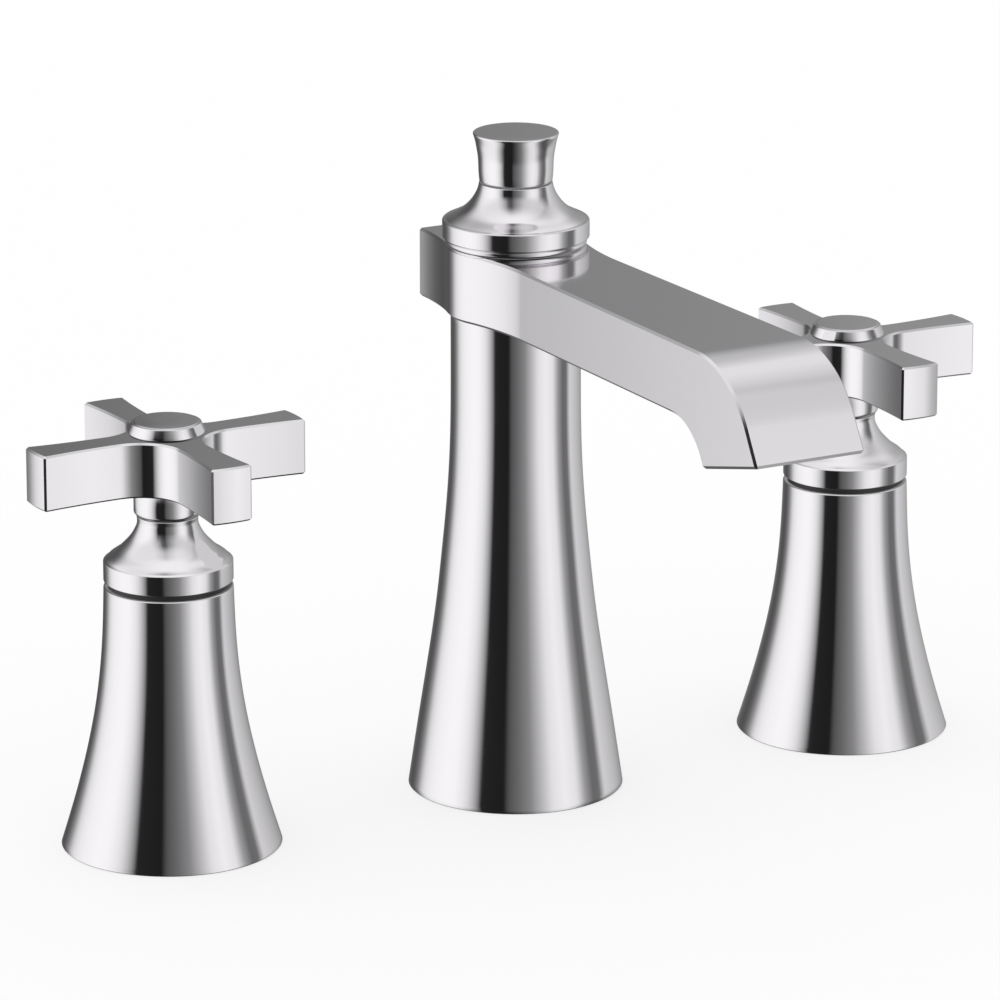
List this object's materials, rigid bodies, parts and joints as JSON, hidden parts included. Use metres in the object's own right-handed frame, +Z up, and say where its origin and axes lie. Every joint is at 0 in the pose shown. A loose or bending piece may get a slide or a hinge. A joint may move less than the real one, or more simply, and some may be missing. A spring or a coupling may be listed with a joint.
{
  "type": "widespread basin faucet",
  "caption": "Deck-mounted basin faucet: a turned column with a flat bridge spout and lift rod, and separate flared valves with cross handles.",
  "frame": {"origin": "on the spout's upright axis, at the deck's top face", "axes": "+X towards the cold handle, -Y the way the spout points, +Z up"},
  "size_m": [0.2778, 0.1844, 0.3069],
  "materials": {
    "chrome": "polished chrome plate",
    "brass": "machined, unplated",
    "steel": "plain stainless",
    "copper": "drawn tube",
    "rubber": "matte",
    "black_plastic": "matte",
    "white_plastic": "satin",
    "ceramic": "lapped ceramic"
  },
  "bodies": {
    "body": {"hot_base": "chrome", "hot_valve_body": "brass", "hot_mounting_nut": "brass", "hot_gland_nut": "brass", "hot_base_seal": "rubber", "hot_deck_gasket": "rubber", "hot_rubber_washer": "rubber", "hot_seat_seal": "rubber", "hot_clamp_washer": "steel", "hot_cartridge_housing": "black_plastic", "hot_glide_ring": "black_plastic", "hot_lower_disc": "ceramic", "cold_base": "chrome", "cold_valve_body": "brass", "cold_mounting_nut": "brass", "cold_gland_nut": "brass", "cold_base_seal": "rubber", "cold_deck_gasket": "rubber", "cold_rubber_washer": "rubber", "cold_seat_seal": "rubber", "cold_clamp_washer": "steel", "cold_cartridge_housing": "black_plastic", "cold_glide_ring": "black_plastic", "cold_lower_disc": "ceramic", "spout_column": "chrome", "spout_arm": "chrome", "spout_cap": "chrome", "aerator_housing": "chrome", "arm_dowel": "steel", "spout_clamp_washer": "steel", "spout_shank": "brass", "mixing_tee": "brass", "centre_tube": "brass", "spout_mounting_nut": "brass", "waterway_tube": "copper", "spout_base_seal": "rubber", "spout_deck_gasket": "rubber", "spout_rubber_washer": "rubber", "waterway_ring": "rubber", "tee_ring": "rubber", "aerator_washer": "rubber", "rod_bush": "white_plastic", "aerator_insert": "white_plastic"},
    "hot_handle": {"hot_skirt": "chrome", "hot_handle": "chrome", "hot_handle_button": "chrome", "hot_stem": "brass", "hot_stem_ring": "rubber", "hot_handle_screw": "steel", "hot_upper_disc": "ceramic"},
    "cold_handle": {"cold_skirt": "chrome", "cold_handle": "chrome", "cold_handle_button": "chrome", "cold_stem": "brass", "cold_stem_ring": "rubber", "cold_handle_screw": "steel", "cold_upper_disc": "ceramic"},
    "lift": {"lift_rod": "steel", "lift_knob": "chrome"}
  },
  "joints": [
    {"name": "hot_turn", "type": "hinge", "parent": "body", "child": "hot_handle", "pos_m": [-0.1016, 0, 0.0694], "axis": [0, 0, 1], "range_deg": [0, 90]},
    {"name": "cold_turn", "type": "hinge", "parent": "body", "child": "cold_handle", "pos_m": [0.1016, 0, 0.0694], "axis": [0, 0, 1], "range_deg": [-90, 0]},
    {"name": "lift", "type": "slide", "parent": "body", "child": "lift", "axis": [0, 0, 1], "range_m": [0, 0.038]}
  ]
}
